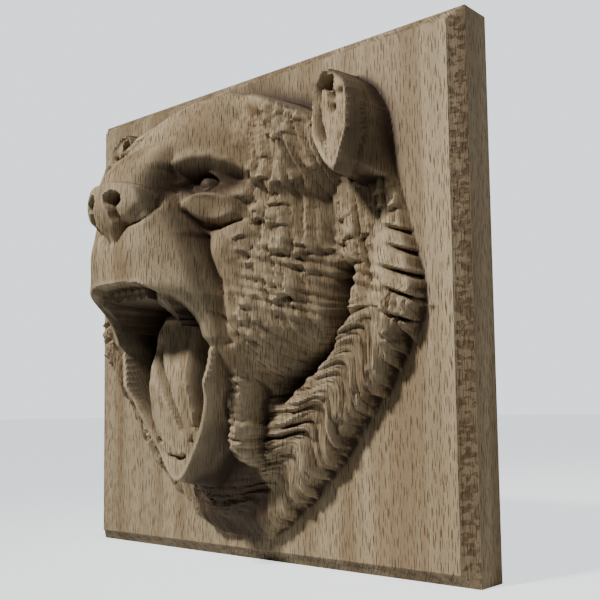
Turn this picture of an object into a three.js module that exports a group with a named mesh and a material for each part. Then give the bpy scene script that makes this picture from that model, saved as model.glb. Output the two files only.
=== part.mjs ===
// Wall plaque: a roaring bear's head carved in relief, in one with a square, chamfered beech board.
// Millimetres. The origin is the middle of the flat back, x runs to the viewer's right, z up,
// and the carving faces -y. The head is the same on both sides of the middle line, but for the tongue.
import * as THREE from "three";

const boardWidth = 150;
const boardHeight = 150;
const boardThickness = 14.4;
const chamferWidth = 3.6;
const chamferDepth = 3.4;

// Plain board between the chamfer and the carving.
const sideMargin = 6.8;
const topMargin = 4.7;
const bottomMargin = 1.9;

// How far the tip of the nose stands in front of the board's face.
const noseReach = 57.4;

// Sizes of features, in the head's drawn size below.
const muzzleHalfWidth = 22.5;
const nosePadHalfWidth = 11.2;
const nosePadHalfHeight = 5.8;
const nostrilDepth = 7;
const eyeSpread = 18;
const eyeRadius = 2.8;
const eyeSocketDepth = 6.8;
const mouthHalfWidth = 17.4;
const mouthTop = 3.5;
const mouthMiddle = -12;
const mouthBottom = -45;
const throatLevel = 12;
const tongueHalfWidth = 8.4;
const fangLength = 8.2;
const fangWidth = 4.6;
const jawRimLevel = 34;
const earTop = 61.2;
const earBottom = 30.7;
const earBreadth = 11.4;
const earHollow = 9.7;
const cheekLevel = 36;
const ruffLevel = 10;
const ruffWidth = 8.5;
const valleyDepth = 8.5;
const lockLength = 12;
const lockWidth = 5;
const ruffLockLength = 22;
const ruffLockWidth = 10;
const lockRelief = 2.8;

// Squares of the carved face, across and up.
const squaresAcross = 64;
const squaresUp = 66;
const rasterStep = 0.5;
const steepestCounted = 4;

// The head's proportions are written for this size, measured from the board's middle and face,
// and follow the head when the board or the margins change.
const drawn = { halfWidth: 64.6, widestAt: -3.5, crown: 66.7, beard: -69.5, nose: 57.4 };

const flatHalfWidth = boardWidth / 2 - chamferWidth;
const flatHalfHeight = boardHeight / 2 - chamferWidth;
const headHalfWidth = flatHalfWidth - sideMargin;
const headTop = flatHalfHeight - topMargin;
const headBottom = bottomMargin - flatHalfHeight;
const acrossScale = headHalfWidth / drawn.halfWidth;
const upScale = (headTop - headBottom) / (drawn.crown - drawn.beard);
const outScale = noseReach / drawn.nose;

function clamp(value, low, high) {
  return Math.min(Math.max(value, low), high);
}

function ease(low, high, value) {
  const share = clamp((value - low) / (high - low), 0, 1);
  return share * share * (3 - 2 * share);
}

// The larger of two heights, with the corner between them rounded over the given blend.
function join(first, second, blend) {
  const overlap = Math.max(blend - Math.abs(first - second), 0) / blend;
  return Math.max(first, second) + overlap * overlap * blend / 4;
}

function meet(first, second, blend) {
  return -join(-first, -second, blend);
}

// Below 1 inside an oval at (x, z) with the given half sizes, turned anticlockwise.
function oval(a, z, middle, halfSizes, power = 2, turn = 0) {
  const cos = Math.cos(THREE.MathUtils.degToRad(turn));
  const sin = Math.sin(THREE.MathUtils.degToRad(turn));
  const across = Math.abs((a - middle[0]) * cos + (z - middle[1]) * sin) / halfSizes[0];
  const up = Math.abs((z - middle[1]) * cos - (a - middle[0]) * sin) / halfSizes[1];
  return across ** power + up ** power;
}

function swelling(a, z, middle, halfSizes, turn = 0) {
  return Math.exp(-oval(a, z, middle, halfSizes, 2, turn));
}

function dome(top, share) {
  return top * Math.sqrt(Math.max(1 - share, 0));
}

// 1 on a line through the stations, fading to nothing at about twice the width.
function stroke(a, z, stations, width) {
  let nearest = Infinity;
  for (let i = 1; i < stations.length; i += 1) {
    const [fromA, fromZ] = stations[i - 1];
    const runA = stations[i][0] - fromA;
    const runZ = stations[i][1] - fromZ;
    const along = ((a - fromA) * runA + (z - fromZ) * runZ) / (runA * runA + runZ * runZ);
    const share = clamp(along, 0, 1);
    nearest = Math.min(nearest, Math.hypot(a - fromA - share * runA, z - fromZ - share * runZ));
  }
  return Math.exp(-((nearest / width) ** 2));
}

// How far a place lies inside the outline of the mane, below nothing outside it.
function insideMane(a, z) {
  const down = clamp((drawn.widestAt - z) / (drawn.widestAt - drawn.beard), 0, 0.999);
  const up = Math.max(z - drawn.widestAt, 0) / 36.8;
  const taper = 0.58;
  const lower = drawn.halfWidth * (1 - down) ** taper;
  const lowerSlope = lower * taper / (1 - down) / (drawn.widestAt - drawn.beard);
  const upper = drawn.halfWidth - 9.6 * up ** 1.1;
  const onLower = z < drawn.widestAt;
  const slope = onLower ? lowerSlope : 0.29;
  let side = ((onLower ? lower : upper) - a) / Math.hypot(1, slope);
  if (z < drawn.beard + 0.07) {
    side = -Math.hypot(a, drawn.beard - z);
  }
  const crownDrop = 4 * (a / 14.2) ** 1.4;
  const crownSlope = 0.394 * (a / 14.2) ** 0.4;
  return meet(side, (drawn.crown - crownDrop - z) / Math.hypot(1, crownSlope), 4);
}

// Below 1 inside the open mouth, an arch over a long point.
function mouthShare(a, z) {
  const onTop = z > mouthMiddle;
  const reach = onTop ? mouthTop - mouthMiddle : mouthMiddle - mouthBottom;
  const power = onTop ? 3 : 1.6;
  return ((a / mouthHalfWidth) ** power + (Math.abs(z - mouthMiddle) / reach) ** power) ** (1 / power);
}

function hash(number, seed) {
  const value = Math.sin(number * 127.1 + seed * 311.7 + 11.3) * 43758.5453;
  return value - Math.floor(value);
}

// A value that wanders smoothly between 0 and 1.
function drift(across, up, seed) {
  const column = Math.floor(across);
  const row = Math.floor(up);
  const shareAcross = ease(0, 1, across - column);
  const shareUp = ease(0, 1, up - row);
  const at = (i, j) => hash(column + i + 57.3 * (row + j), seed);
  const low = at(0, 0) + (at(1, 0) - at(0, 0)) * shareAcross;
  const high = at(0, 1) + (at(1, 1) - at(0, 1)) * shareAcross;
  return low + (high - low) * shareUp;
}

// A coat of uneven pointed locks, each rising along its length and dropping at its tip.
function locks(along, across, length, width, seed) {
  const sway = drift(along / length * 0.9, across / width * 0.5, seed) - 0.5;
  const lag = drift(along / length * 0.5, across / width * 0.7, seed + 9) - 0.5;
  const place = across / width + 0.9 * sway;
  const column = Math.floor(place);
  const fromMiddle = (place - column - 0.5) * 2;
  const run = along / length + 0.5 * lag + hash(column, seed) * 3 - 0.45 * fromMiddle * fromMiddle;
  const rise = run - Math.floor(run);
  const strength = 0.3 + 0.7 * hash(column * 1.7 + 0.37 * Math.floor(run), seed + 5);
  return strength * rise ** 0.8 * (1 - rise ** 8) * (1 - 0.85 * fromMiddle * fromMiddle);
}

// Where a place lies in the coat of the ruff: the hair leaves the valley level, bends over the
// ruff's crest and hangs straight down.
function ruffHair(a, z, inside) {
  const drop = clamp(1 + z / 62, 0.001, 1.4);
  const over = (a / 57) ** 1.613;
  const level = ease(6, 15, inside);
  const across = 75 * (level * drop + (1 - level) * over);
  const along = level * (a - 57 * drop ** 0.62) + (1 - level) * (62 * (over - 1) - z);
  return { across, along };
}

// The low mane beside the face, the ruff below it with the valley between, the round cheek and the temple.
function maneAndCheeks(a, z, inside) {
  const low = ease(2, -18, z);
  const mane = 3.6 + 2.6 * ease(18, 2, z) + 0.36 * clamp(inside, 0, 30);
  const outward = clamp(1 - inside / ruffWidth, 0, 1);
  let ruff = 2.5 + (ruffLevel - 2.5 - 1.5 * ease(-38, -58, z)) * Math.sqrt(1 - 0.98 * outward ** 3);
  ruff += 5.5 * ease(6, 18, inside);
  ruff *= 0.3 + 0.7 * ease(-70, -60, z);
  ruff = mane * (1 - low) + ruff * low;
  const underCheek = [[44.5, 7], [43.4, -5], [39.5, -13], [34, -18.5], [28, -23.5], [25.5, -26]];
  ruff -= valleyDepth * stroke(a, z, underCheek, 2);
  const reach = z > -4 ? 58 : 19 + 7 * ease(34, 18, a);
  const cheek = dome(cheekLevel, ((a - 13) / 31) ** 2 * (a > 13 ? 1 : 0.2) + ((z + 4) / reach) ** 2);
  const temple = dome(26, ((a - 24) / (a > 24 ? 20 : 25)) ** 2 + ((z - 42) / 25) ** 2);
  const beard = dome(12, oval(a, z, [0, -45], [19, 21]));
  return join(join(ruff, beard, 3), join(cheek, temple, 4), 2.5);
}

function skull(a, z) {
  const middle = 28;
  const up = z > middle ? (z - middle) / (drawn.crown - middle + 0.8) : (middle - z) / 34;
  const halfWidth = 33 + 6 * ease(40, 58, z);
  const round = dome(42, up ** 1.55 + (a / halfWidth) ** 2);
  const brows = 3.4 * swelling(a, z, [9.5, 43], [5, 6]) + 1.6 * swelling(a, z, [12, 54], [6, 6]);
  return round + brows - 3.4 * stroke(a, z, [[0, 45], [0, 64]], 3.2);
}

// The raised muzzle: a steep bridge, a blunt front and a lip that curls back to the mouth's corner.
function muzzle(a, z) {
  const up = Math.max(z - 30, 0);
  const bridge = 53.2 - 0.3 * up - 0.055 * up * up;
  const underLip = join(54 + 1.7 * (z - 2.5), 37.5 + 0.35 * (z + 13), 5);
  const crest = meet(meet(bridge, 53.4, 2), underLip, 2);
  const root = Math.min(32, crest);
  const halfWidth = Math.max(muzzleHalfWidth - (z > 0 ? 0.35 : 0.05) * z, 10.6);
  const share = clamp(a / halfWidth, 0, 1);
  const power = 2.6 + 1.8 * ease(15, 28, z);
  const side = root + (crest - root) * Math.sqrt(1 - share ** power) - 2.5 * Math.max(a - halfWidth, 0);
  return side - 1.1 * Math.max(-11 - z, 0) - 2 * ease(-8, -18, z);
}

function nose(a, z, level) {
  const upper = oval(a, z, [0, 24], [nosePadHalfWidth, nosePadHalfHeight], 3);
  const share = Math.min(upper, oval(a, z, [0, 19.5], [3.6, 5.2], 2.4));
  const pad = drawn.nose - 0.042 * a * a - 0.05 * (z - 25) ** 2 - 9 * ease(0.86, 1.3, share);
  const crease = [[1.6, 14.4], [3, 15.8], [5.2, 18.4], [8.4, 19.6], [11.4, 23.4], [11.2, 28]];
  let height = join(level, pad, 1);
  height -= nostrilDepth * ease(1.5, 0.6, oval(a, z, [4.3, 24.9], [2.1, 1.8], 2, -14));
  height -= 3.2 * ease(1.3, 0.3, oval(a, z, [4.4, 21], [1.3, 4], 2, 12));
  height -= 1.8 * stroke(a, z, crease, 0.85);
  height -= 0.6 * stroke(a, z, [[0, 17], [0, 3]], 0.9);
  return height + 1.6 * swelling(a, z, [7.5, 11.5], [5, 6]);
}

function browAndEye(a, z, level) {
  const eye = eyeSpread;
  const up = 30.4;
  let height = level - eyeSocketDepth * swelling(a, z, [eye - 3.6, up + 1.4], [3, 3.6], -12);
  height -= 0.7 * eyeSocketDepth * swelling(a, z, [eye + 3.4, up + 1.8], [3.6, 3], -20);
  const brow = [[11.5, 36.2], [eye - 3.5, 37.8], [eye + 0.5, 38.8], [eye + 4.5, 36.8], [eye + 9, 32.4]];
  height += 2.4 * stroke(a, z, [...brow, [eye + 13, 29.8]], 1.9) + 1.4 * swelling(a, z, [eye - 5, 42], [6, 5]);
  const eyeShare = oval(a, z, [eye, up], [eyeRadius, eyeRadius]);
  height -= 1.8 * Math.exp(-(((Math.sqrt(eyeShare) - 1.3) / 0.24) ** 2));
  if (eyeShare < 1) {
    height = join(height, 30.8 + dome(eyeRadius, eyeShare), 0.6);
  }
  height += 1.3 * stroke(a, z, [[eye - 4.4, 31.2], [eye - 2, 33.8], [eye + 1.4, 34], [eye + 4.6, 31.4]], 0.8);
  height += 0.9 * stroke(a, z, [[eye - 3.4, 28], [eye + 3.4, 27.2]], 0.8);
  height += 2.4 * ease(1.25, 0.45, oval(a, z, [eye + 1.2, 23.9], [5.2, 4], 2.4, -8));
  height -= 1.8 * stroke(a, z, [[14.6, 22.4], [16.4, 19.4], [20, 18.6], [24, 20.6]], 0.9);
  height += 1.2 * stroke(a, z, [[25, 27], [34, 15.5]], 2.6) - 2.2 * stroke(a, z, [[25, 25], [30, 17]], 2.2);
  height -= 2.6 * stroke(a, z, [[16.6, 15.6], [18.8, 9.5], [21.8, 0], [22.4, -12]], 1.1);
  height += 2.6 * swelling(a, z, [22.2, 13], [4, 5.4]);
  height -= 2 * stroke(a, z, [[18, 53.5], [25, 49.5], [29, 43.5], [29.5, 38]], 2.6);
  return height + 1.2 * stroke(a, z, [[20, 56], [28, 51.5], [32.5, 44.5], [33, 38]], 2);
}

// The thin rim of the lower jaw, its steep outer wall, and the tuft of hair that hangs beside it.
function jaw(a, z, level, share) {
  const outside = Math.hypot(a, z - mouthMiddle) * (1 - 1 / Math.max(share, 0.3));
  const rimLevel = jawRimLevel - 4.2 * ease(-16, -44, z) + 1.6 * swelling(a, z, [17, -23], [3, 3.4]);
  const rimWidth = 1.4 + 3 * ease(-38, -46, z) * ease(9, 1, a);
  const side = rimLevel - 4.4 * Math.max(outside - rimWidth, 0) ** 1.2;
  const height = join(level, side * ease(-7, -14, z), 1.2);
  const middle = 20.6 + 0.14 * Math.min(z + 14, 0);
  const tuftShare = ((a - middle) / 3.7) ** 4 + (Math.max(-38 - z, 0) / 10) ** 2;
  const tuft = dome(26 + 0.1 * (z + 14), tuftShare) * ease(-7, -14, z);
  return join(height, tuft * ease(-2, 2, outside), 1.6);
}

// The tongue has one deep groove that winds from one side to the other.
function tongue(x, z) {
  if (z > -3 || z < -40.6) {
    return 0;
  }
  const crest = 28 + 4.5 * Math.sin(clamp((-6 - z) / 22, 0, 1) * Math.PI / 2);
  const taper = Math.sqrt(Math.max(1 - (Math.max(-30 - z, 0) / 11) ** 2, 0));
  const halfWidth = Math.max(tongueHalfWidth * taper * (0.6 + 0.4 * ease(2, 8, -z)), 0.5);
  const share = clamp(Math.abs(x) / halfWidth, 0, 1.8);
  const edge = 1.2 * Math.sin(Math.min(share, 1) * Math.PI * 0.62) - 50 * Math.max(share - 0.88, 0) ** 1.4;
  const grooveAt = 9 * ease(-12, -36, z) - 6;
  const groove = 6 * ease(-8, -15, z) * Math.exp(-(((x - grooveAt) / 1.5) ** 2));
  return crest + edge - groove * ease(-39, -34, z);
}

function insideMouth(x, z, share) {
  const a = Math.abs(x);
  let height = throatLevel + 8 * ease(-10, -40, z) + 9 * ease(0.8, 1, share);
  height = join(height, tongue(x, z), 1.5);
  height = join(height, 29.5 * ease(1.25, 0.85, oval(a, z, [0, -41], [8.5, 4.2])), 1);
  height -= 3.6 * stroke(a, z, [[0, -43.9], [4, -43], [7.6, -40.2]], 1);
  const fangShare = (z + fangLength) / fangLength;
  const fangHalf = fangWidth / 2 * clamp(fangShare, 0.02, 1) ** 0.7;
  if (fangShare > 0 && Math.abs(a - 11.6 + 0.12 * z) < fangHalf) {
    height = join(height, 46.5, 0.8);
  }
  if (z > 0.4 - Math.abs(Math.cos(a * Math.PI / 2.8)) && a < 8.4) {
    height = join(height, 47, 0.5);
  }
  if (oval(a, z, [8.4, -37.4], [1.5, 2.6], 1.8, 8) < 1) {
    height = join(height, 32.5, 0.8);
  }
  return height;
}

// The ear is a shell with an upright face that narrows to a point, on a wider foot, with a wall
// between the two outlines. Its hollow is deepest at the top, towards the head.
function ear(a, z, level) {
  const middle = 48.8 - 0.19 * (z - earBottom);
  const inFace = earHalfFace(z) - Math.abs(a - middle);
  const inFoot = Math.min(
    55.8 - 0.11 * (z - earBottom) - 8.5 * (Math.max(z - earBottom - 15, 0) / 16) ** 2.4 - a,
    z - earBottom,
    earTop + 1.5 - 0.16 * Math.min(a - middle, 0) ** 2 - z,
    a - middle + earBreadth / 2 + 0.9,
  );
  if (inFoot <= 0) {
    return level;
  }
  const wall = clamp(inFoot / Math.max(inFoot - inFace, 0.01), 0, 1);
  const rim = 14.3 + 5.5 * ease(62, 34, z);
  const hole = earHollow * ease(1.4, 0.6, oval(a, z, [42.6, 57.8], [2, 1.9], 2.4));
  const groove = 0.42 * earHollow * stroke(a, z, [[39.8, 57], [39.9, 52], [41.6, 46], [44, 41]], 1.1);
  const hollow = Math.max(ease(33, 40, z), hole, groove) * ease(0.4, 2.2, inFace);
  return join(level, rim * wall - hollow, 0.8);
}

function earHalfFace(z) {
  const pointed = clamp((z - earBottom) / 11.3, 0, 1) ** 0.75;
  const rounded = Math.sqrt(clamp(1 - (Math.max(z - earTop + 7, 0) / 7) ** 2, 0, 1));
  return earBreadth / 2 * pointed * rounded;
}

// Height of the carving in front of the board's face.
function relief(x, z) {
  const a = Math.abs(x) / acrossScale;
  const up = drawn.beard + (z - headBottom) / upScale;
  let inside = insideMane(a, up);
  if (inside < -4 && (a < 36 || up < earBottom)) {
    return 0;
  }
  const share = mouthShare(a, up);
  let height = join(maneAndCheeks(a, up, inside), skull(a, up), 3);
  height = join(height, muzzle(a, up), 2.5);
  height = nose(a, up, height);
  height = browAndEye(a, up, height);
  height = jaw(a, up, height, share);
  const furred = ease(0.75, 1.15, oval(a, up, [0, 4], [26, 60], 2.2)) * ease(60, 48, up);
  const low = ease(6, -8, up);
  const hair = ruffHair(a, up, inside);
  const edgeLock = locks(hair.along, hair.across, ruffLockLength, ruffLockWidth, 1);
  const cheekLock = locks(0.25 * a - up, a + 0.15 * up, lockLength, lockWidth, 3);
  const onRuff = ease(22, 14, inside) * low;
  height += furred * lockRelief * (edgeLock * onRuff + cheekLock * (1 - onRuff) * 0.6 - 0.35);
  inside += furred * lockRelief * (edgeLock - 0.4) * low;
  const open = ease(1, 0.965, share);
  if (open > 0) {
    height += (Math.min(insideMouth(x / acrossScale, up, share), height) - height) * open;
  }
  height = ear(a, up, height * ease(-0.5, 1.2, inside));
  return Math.max(height, 0) * outScale;
}

// Values on an even raster of the board's face.
class Raster {
  constructor(valueAt) {
    this.columns = Math.ceil(2 * flatHalfWidth / rasterStep);
    this.rows = Math.ceil(2 * flatHalfHeight / rasterStep);
    this.values = new Float64Array((this.columns + 1) * (this.rows + 1));
    this.fill(valueAt);
  }

  fill(valueAt) {
    const next = this.values.map((unused, index) => {
      return valueAt(Math.floor(index / (this.rows + 1)), index % (this.rows + 1));
    });
    this.values = next;
  }

  at(i, j) {
    return this.values[clamp(i, 0, this.columns) * (this.rows + 1) + clamp(j, 0, this.rows)];
  }

  soften(passes) {
    for (let pass = 0; pass < passes; pass += 1) {
      this.fill((i, j) => (this.at(i - 1, j) + 2 * this.at(i, j) + this.at(i + 1, j)) / 4);
      this.fill((i, j) => (this.at(i, j - 1) + 2 * this.at(i, j) + this.at(i, j + 1)) / 4);
    }
  }

  sample(x, z) {
    const across = (x + flatHalfWidth) / rasterStep;
    const up = (z + flatHalfHeight) / rasterStep;
    const i = Math.floor(across);
    const j = Math.floor(up);
    const low = this.at(i, j) + (this.at(i + 1, j) - this.at(i, j)) * (across - i);
    const high = this.at(i, j + 1) + (this.at(i + 1, j + 1) - this.at(i, j + 1)) * (across - i);
    return low + (high - low) * (up - j);
  }
}

// The relief as a round-nosed cutter leaves it, with its sharpest corners softened.
function carvedRaster() {
  const carved = new Raster((i, j) => relief(i * rasterStep - flatHalfWidth, j * rasterStep - flatHalfHeight));
  carved.soften(3);
  return carved;
}

// Large where the squares of the face should be small, on and around steep places.
function detailRaster(carved) {
  const detail = new Raster((i, j) => {
    const slopeAcross = (carved.at(i + 1, j) - carved.at(i - 1, j)) / rasterStep / 2;
    const slopeUp = (carved.at(i, j + 1) - carved.at(i, j - 1)) / rasterStep / 2;
    return Math.min(Math.sqrt(1 + slopeAcross ** 2 + slopeUp ** 2), steepestCounted);
  });
  detail.soften(5);
  return detail;
}

// Nodes of the right half of the face, drawn together where the relief is steep.
function faceNodes(detail) {
  const columns = squaresAcross / 2;
  const nodes = [];
  for (let i = 0; i <= columns; i += 1) {
    nodes.push([]);
    for (let j = 0; j <= squaresUp; j += 1) {
      const z = (2 * j / squaresUp - 1) * flatHalfHeight;
      nodes[i].push({ x: i / columns * flatHalfWidth, z });
    }
  }
  for (let pass = 0; pass < 260; pass += 1) {
    for (let i = 0; i < columns; i += 1) {
      for (let j = 1; j < squaresUp; j += 1) {
        const node = nodes[i][j];
        const before = i > 0 ? nodes[i - 1][j] : { x: -nodes[1][j].x, z: nodes[1][j].z };
        let weight = 0;
        let x = 0;
        let z = 0;
        for (const near of [before, nodes[i + 1][j], nodes[i][j - 1], nodes[i][j + 1]]) {
          const pull = detail.sample((near.x + node.x) / 2, (near.z + node.z) / 2);
          weight += pull;
          x += pull * near.x;
          z += pull * near.z;
        }
        node.x = i > 0 ? x / weight : 0;
        node.z = z / weight;
      }
    }
  }
  return nodes;
}

function plaqueGeometry() {
  const carved = carvedRaster();
  const half = faceNodes(detailRaster(carved));
  const columns = squaresAcross / 2;
  const positions = [];
  const faces = [];
  const addPoint = (x, y, z) => positions.push(x, y, z) / 3 - 1;
  const frontPoint = (x, z) => addPoint(x, -boardThickness - carved.sample(x, z), z);
  const onEdge = (i, j) => i === columns || j === 0 || j === squaresUp;
  const grid = [];
  for (let i = -columns; i <= columns; i += 1) {
    grid.push(half[Math.abs(i)].map((node, j) => {
      const x = Math.sign(i) * node.x;
      return onEdge(Math.abs(i), j) ? addPoint(x, -boardThickness, node.z) : frontPoint(x, node.z);
    }));
  }
  const middleGap = (first, second) => {
    const x = (positions[3 * first] + positions[3 * second]) / 2;
    const y = (positions[3 * first + 1] + positions[3 * second + 1]) / 2;
    const z = (positions[3 * first + 2] + positions[3 * second + 2]) / 2;
    return Math.abs(-boardThickness - carved.sample(x, z) - y);
  };
  for (let i = 0; i < squaresAcross; i += 1) {
    for (let j = 0; j < squaresUp; j += 1) {
      const [low, right, high, left] = [grid[i][j], grid[i + 1][j], grid[i + 1][j + 1], grid[i][j + 1]];
      if (middleGap(low, high) < middleGap(left, right)) {
        faces.push(low, right, high, low, high, left);
      } else {
        faces.push(low, right, left, right, high, left);
      }
    }
  }
  const last = squaresAcross;
  const bottomEdge = grid.map((column) => column[0]);
  const rightEdge = [...grid[last]];
  const topEdge = grid.map((column) => column[squaresUp]).reverse();
  const leftEdge = [...grid[0]].reverse();
  const corners = [[-1, -1], [1, -1], [1, 1], [-1, 1]];
  const cornerRing = (y) => corners.map(([x, z]) => addPoint(x * boardWidth / 2, y, z * boardHeight / 2));
  const frontRing = cornerRing(chamferDepth - boardThickness);
  const backRing = cornerRing(0);
  [bottomEdge, rightEdge, topEdge, leftEdge].forEach((edge, side) => {
    const next = (side + 1) % 4;
    const middle = edge.length >> 1;
    for (let k = 0; k < edge.length - 1; k += 1) {
      faces.push(k < middle ? frontRing[side] : frontRing[next], edge[k + 1], edge[k]);
    }
    faces.push(frontRing[side], frontRing[next], edge[middle]);
    faces.push(frontRing[side], backRing[side], backRing[next]);
    faces.push(frontRing[side], backRing[next], frontRing[next]);
  });
  faces.push(backRing[0], backRing[3], backRing[2], backRing[0], backRing[2], backRing[1]);
  const geometry = new THREE.BufferGeometry();
  geometry.setAttribute("position", new THREE.Float32BufferAttribute(positions, 3));
  geometry.setIndex(faces);
  geometry.computeVertexNormals();
  return geometry;
}

const beech = new THREE.MeshStandardMaterial({ color: "#a89678", roughness: 0.75, metalness: 0 });
const plaque = new THREE.Mesh(plaqueGeometry(), beech);
plaque.name = "carved_bear_plaque";

const part = new THREE.Group();
part.name = "carved_bear_plaque_part";
part.add(plaque);

export default part;
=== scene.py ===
import math

import bmesh
import bpy
import numpy as np
from mathutils import Euler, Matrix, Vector


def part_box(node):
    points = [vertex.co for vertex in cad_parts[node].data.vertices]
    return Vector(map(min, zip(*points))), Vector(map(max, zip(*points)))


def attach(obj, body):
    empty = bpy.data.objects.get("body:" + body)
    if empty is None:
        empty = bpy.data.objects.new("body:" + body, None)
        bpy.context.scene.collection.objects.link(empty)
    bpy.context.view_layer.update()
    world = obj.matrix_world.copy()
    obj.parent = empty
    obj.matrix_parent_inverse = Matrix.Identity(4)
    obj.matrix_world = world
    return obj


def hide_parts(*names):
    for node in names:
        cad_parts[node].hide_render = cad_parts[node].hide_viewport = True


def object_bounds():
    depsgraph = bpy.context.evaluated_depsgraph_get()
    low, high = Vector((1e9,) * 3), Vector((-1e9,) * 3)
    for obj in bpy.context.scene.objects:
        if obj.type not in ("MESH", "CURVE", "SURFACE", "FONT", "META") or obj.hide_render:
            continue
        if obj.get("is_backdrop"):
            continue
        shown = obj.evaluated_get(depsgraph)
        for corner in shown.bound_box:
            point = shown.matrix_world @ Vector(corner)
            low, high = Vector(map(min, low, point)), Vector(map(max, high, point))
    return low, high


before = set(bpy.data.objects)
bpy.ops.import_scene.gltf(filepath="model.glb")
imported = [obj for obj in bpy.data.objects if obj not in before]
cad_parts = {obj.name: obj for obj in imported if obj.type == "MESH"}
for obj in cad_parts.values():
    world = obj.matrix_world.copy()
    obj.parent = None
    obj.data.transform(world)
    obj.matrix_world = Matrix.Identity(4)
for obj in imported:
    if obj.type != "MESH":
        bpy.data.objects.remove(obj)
cadBox = [list(corner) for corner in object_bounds()]
print("frame loaded", cadBox)

mm = 0.001

# the board, in millimetres
board = {
    "node": "carved_bear_plaque",
    "thickness": 14.4,
    "chamferWidth": 3.6,
    "chamferDepth": 3.4,
    "chamferStep": 0.35,
    "chamferRings": 6,       # rows of squares on the chamfer
    "squares": 300,          # squares along each side of the flat face
    "sharpAngle": 38,        # degrees between two faces from which their edge is drawn sharp
    "rasterStep": 0.25,
    "steepestCounted": 3.5,
    "shelterSpacing": 4,     # raster steps between the points of the coarse raster
}
boardLow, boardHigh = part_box(board["node"])
halfWidth = (boardHigh[0] - boardLow[0]) / 2 / mm
halfHeight = (boardHigh[2] - boardLow[2]) / 2 / mm
flatHalfWidth = halfWidth - board["chamferWidth"]
flatHalfHeight = halfHeight - board["chamferWidth"]

# the bear's head, in millimetres from the board's middle and face
head = {
    "halfWidth": 64.6, "widestAt": -3.5, "crown": 66.7, "beard": -69.5,
    "muzzleHalfWidth": 22.5, "muzzleRoot": 32.0, "muzzleFront": 53.4,
    "noseTip": 57.2, "noseHalfWidth": 11.2, "nostrilDepth": 7.0,
    "eyeAcross": 18.0, "eyeUp": 30.4, "eyeRadius": 2.2, "eyeLevel": 31.6, "socketDepth": 6.8,
    "mouthHalfWidth": 17.4, "mouthTop": 3.5, "mouthMiddle": -12.0, "mouthBottom": -45.0, "throat": 12.0,
    "tongueHalfWidth": 8.4, "fangLength": 8.2, "fangWidth": 4.6, "jawRim": 34.0,
    "earAcross": 48.8, "earBottom": 30.7, "earTop": 61.2, "earBreadth": 11.4, "earHollow": 9.7,
    "cheekLevel": 36.0, "templeLevel": 26.0, "valleyDepth": 8.5, "ruffRoll": 8.5, "tuftLevel": 27.5,
    "lockLength": 22.0, "lockWidth": 10.0, "lockRelief": 3.0, "cheekLockRelief": 2.6,
    "slashes": 6, "highestSlash": 15.5, "slashGap": 5.2, "slashDepth": 4.2,
}


def ease(low, high, value):
    share = np.clip((value - low) / (high - low), 0, 1)
    return share * share * (3 - 2 * share)


def join(first, second, blend):  # the larger of two heights, its corner rounded
    overlap = np.maximum(blend - np.abs(first - second), 0) / blend
    return np.maximum(first, second) + overlap * overlap * blend / 4


def meet(first, second, blend):
    return -join(-first, -second, blend)


def oval(a, z, middle, halfSizes, power=2, turn=0):
    cos, sin = math.cos(math.radians(turn)), math.sin(math.radians(turn))
    across = np.abs((a - middle[0]) * cos + (z - middle[1]) * sin) / halfSizes[0]
    up = np.abs((z - middle[1]) * cos - (a - middle[0]) * sin) / halfSizes[1]
    return across ** power + up ** power


def swelling(a, z, middle, halfSizes, turn=0):
    return np.exp(-oval(a, z, middle, halfSizes, 2, turn))


def dome(top, share):
    return top * np.sqrt(np.maximum(1 - share, 0))


def stroke(a, z, stations, width):
    nearest = np.full(np.shape(a), np.inf)
    for (fromA, fromZ), (toA, toZ) in zip(stations[:-1], stations[1:]):
        runA, runZ = toA - fromA, toZ - fromZ
        share = np.clip(((a - fromA) * runA + (z - fromZ) * runZ) / (runA * runA + runZ * runZ), 0, 1)
        nearest = np.minimum(nearest, np.hypot(a - fromA - share * runA, z - fromZ - share * runZ))
    return np.exp(-(nearest / width) ** 2)


def hashed(number, seed=0.0):
    value = np.sin(number * 127.1 + seed * 311.7 + 11.3) * 43758.5453
    return value - np.floor(value)


def drift(across, up, seed):  # wanders smoothly between 0 and 1
    column, row = np.floor(across), np.floor(up)
    shareAcross, shareUp = ease(0, 1, across - column), ease(0, 1, up - row)
    corner = lambda i, j: hashed(column + i + 57.3 * (row + j), seed)
    lower = corner(0, 0) * (1 - shareAcross) + corner(1, 0) * shareAcross
    upper = corner(0, 1) * (1 - shareAcross) + corner(1, 1) * shareAcross
    return lower * (1 - shareUp) + upper * shareUp


def locks(along, across, length, width, seed, bare=0.0, point=0.45):
    # a coat of uneven locks, each rising along its length and dropping at its tip
    across = across + 0.9 * width * (drift(along / length * 0.9, across / width * 0.5, seed) - 0.5)
    along = along + 0.6 * length * (drift(along / length * 0.5, across / width * 0.7, seed + 9) - 0.5)
    column = np.floor(across / width)
    fromMiddle = (across / width - column - 0.5) * 2
    run = along / length + hashed(column, seed) * 3 - point * fromMiddle * fromMiddle
    row = np.floor(run)
    rise = run - row
    chance = hashed(column * 1.7 + 0.37 * row, seed + 5)
    strength = ease(bare, 1, chance) if bare else 0.25 + 0.75 * chance
    rounding = 1 - 0.9 * np.abs(fromMiddle) ** (5 - 5.3 * point)
    return strength * (0.15 + 0.85 * rise) * (1 - rise ** 20) * rounding


def combed(across, width, seed, along):  # fine grooves between hairs, -1 in a groove and 0 between
    place = across / width + 1.2 * drift(along / (9 * width), across / (2.5 * width), seed)
    groove = np.abs(place - np.floor(place) - 0.5) * 2
    depth = 0.3 + 0.7 * hashed(np.floor(place + 0.5), seed + 3)
    return -depth * np.maximum(groove - 0.15, 0) / 0.85


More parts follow.
